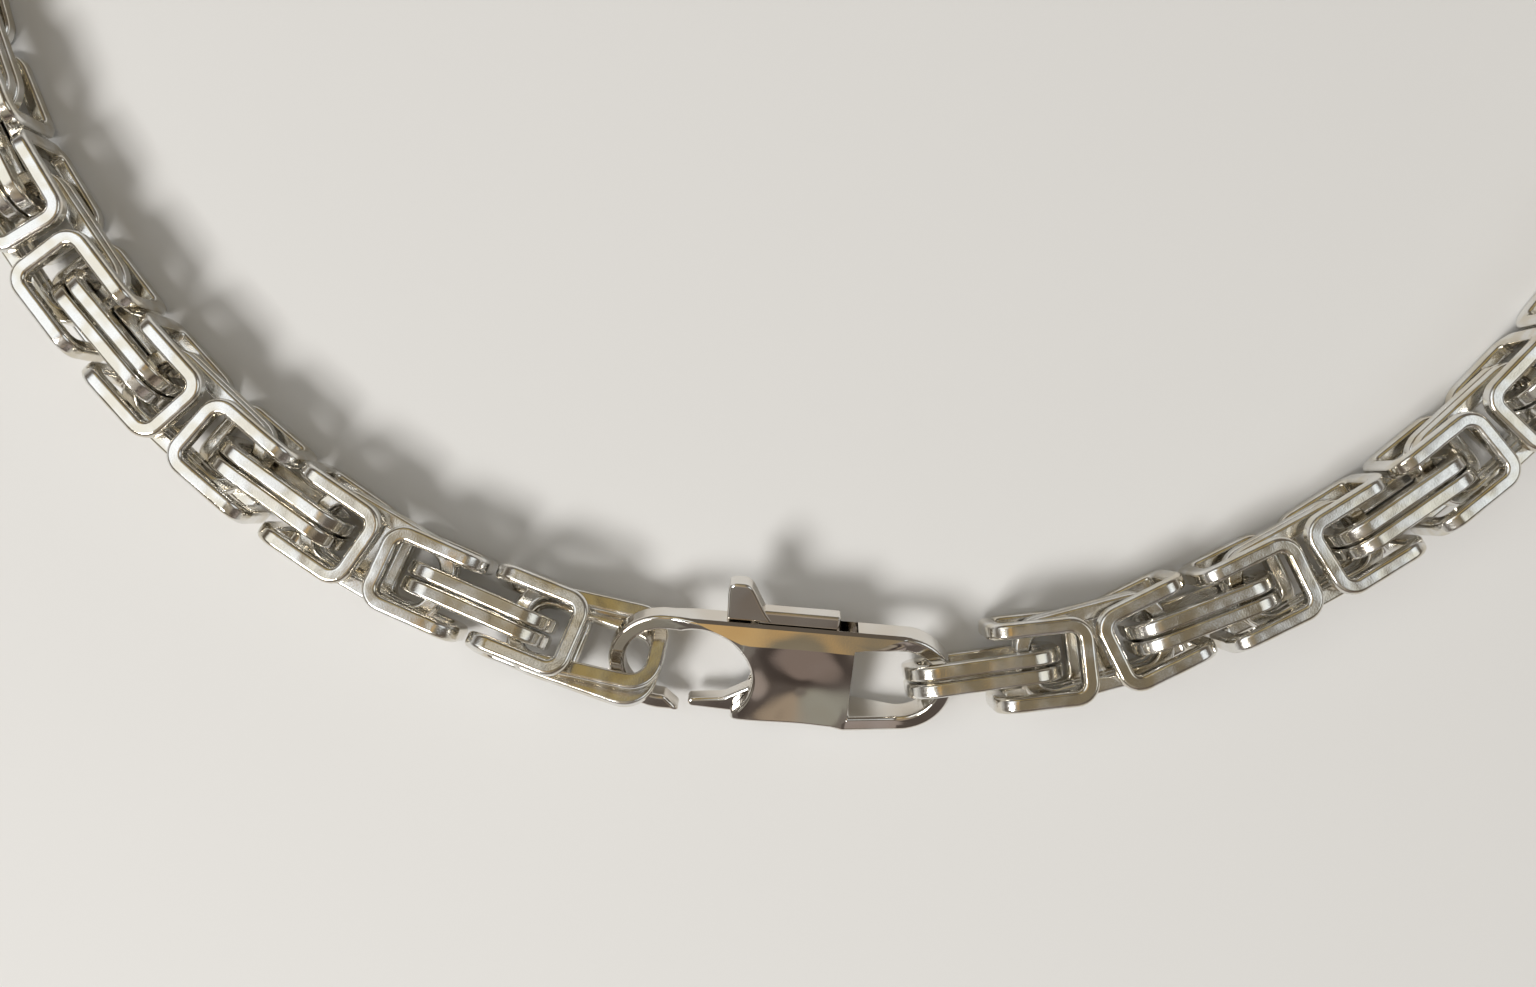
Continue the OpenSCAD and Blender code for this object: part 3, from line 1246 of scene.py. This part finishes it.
@dataclass
class Studio:
    """Pale floor, soft light and the camera, which looks straight down over the clasp."""

    aim: tuple[float, float] = (-1.9 * MM, -89.1 * MM)
    camera_height: float = 93 * MM
    view_width: float = 104.5 * MM
    focus_level: float = 3 * MM
    roll: float = math.radians(4)
    sensor: float = 36
    clip: tuple[float, float] = (5 * MM, 10)
    floor_size: float = 4.0
    floor_colour: tuple[float, float, float] = (0.77, 0.77, 0.765)
    floor_rough: float = 0.9
    floor_shine: float = 0.2

    def build_camera(self) -> None:
        """Places the camera; its lens follows from the width that it sees."""
        data = bpy.data.cameras.new("camera")
        reach = self.camera_height - self.focus_level
        data.sensor_width = self.sensor
        data.lens = self.sensor * reach / self.view_width
        data.clip_start, data.clip_end = self.clip
        item = bpy.data.objects.new("camera", data)
        bpy.context.scene.collection.objects.link(item)
        item.location = (*self.aim, self.camera_height)
        item.rotation_euler = (0, 0, self.roll)
        bpy.context.scene.camera = item

    def build_floor(self) -> None:
        """Lays a plain pale floor under the chain."""
        select_only()
        bpy.ops.mesh.primitive_plane_add(size=self.floor_size)
        floor = bpy.context.object
        floor.name = "floor"
        material = bpy.data.materials.new("pale_floor")
        material.use_nodes = True
        sheet = Sheet(material.node_tree)
        shader = sheet.add("ShaderNodeBsdfPrincipled", {}, {
            "Base Color": (*self.floor_colour, 1), "Roughness": self.floor_rough,
            "Specular IOR Level": self.floor_shine,
        })
        sheet.add("ShaderNodeOutputMaterial", {}, {"Surface": shader.outputs[0]})
        floor.data.materials.append(material)

    def build(self) -> None:
        """Builds the whole studio."""
        self.build_floor()
        self.build_camera()
        Room().build()
        Softbox().build(Vector((*self.aim, 0)))
        view = bpy.context.scene.view_settings
        view.view_transform, view.look = "Standard", "None"


def main() -> None:
    """Builds and dresses every piece, then the studio, and reports each piece."""
    logging.basicConfig(level=logging.INFO, format="%(message)s")
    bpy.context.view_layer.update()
    chain = Chain()
    last = chain.oval.pair_count - 1
    middle = last // 2
    for node, first, end in (("chain_right", 0, middle), ("chain_left", middle + 1, last)):
        piece = chain.build(node + "_links", first, end)
        CHAIN_STEEL.dress(piece)
        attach(piece, "root")
        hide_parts(node)
        LOG.info("%s: %d faces", piece.name, len(piece.data.polygons))
    shape = ClaspFrame()
    place = shape.on_chain(chain.oval)
    for maker, node, body, slot in (
        (ClaspBody(shape), "clasp_body", "root", Slot.CLASP),
        (ClaspLever(shape), "clasp_lever", "lever", Slot.LEVER),
    ):
        piece = maker.build()
        piece.data.transform(place)
        CLASP_STEEL.dress(piece)
        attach(piece, body)
        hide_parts(node)
        LOG.info("%s: %d faces", piece.name, len(piece.data.polygons))
    CLASP_STEEL.dress(frame["nodes"]["clasp_pin"])
    Studio().build()


if __name__ == "__main__":
    main()
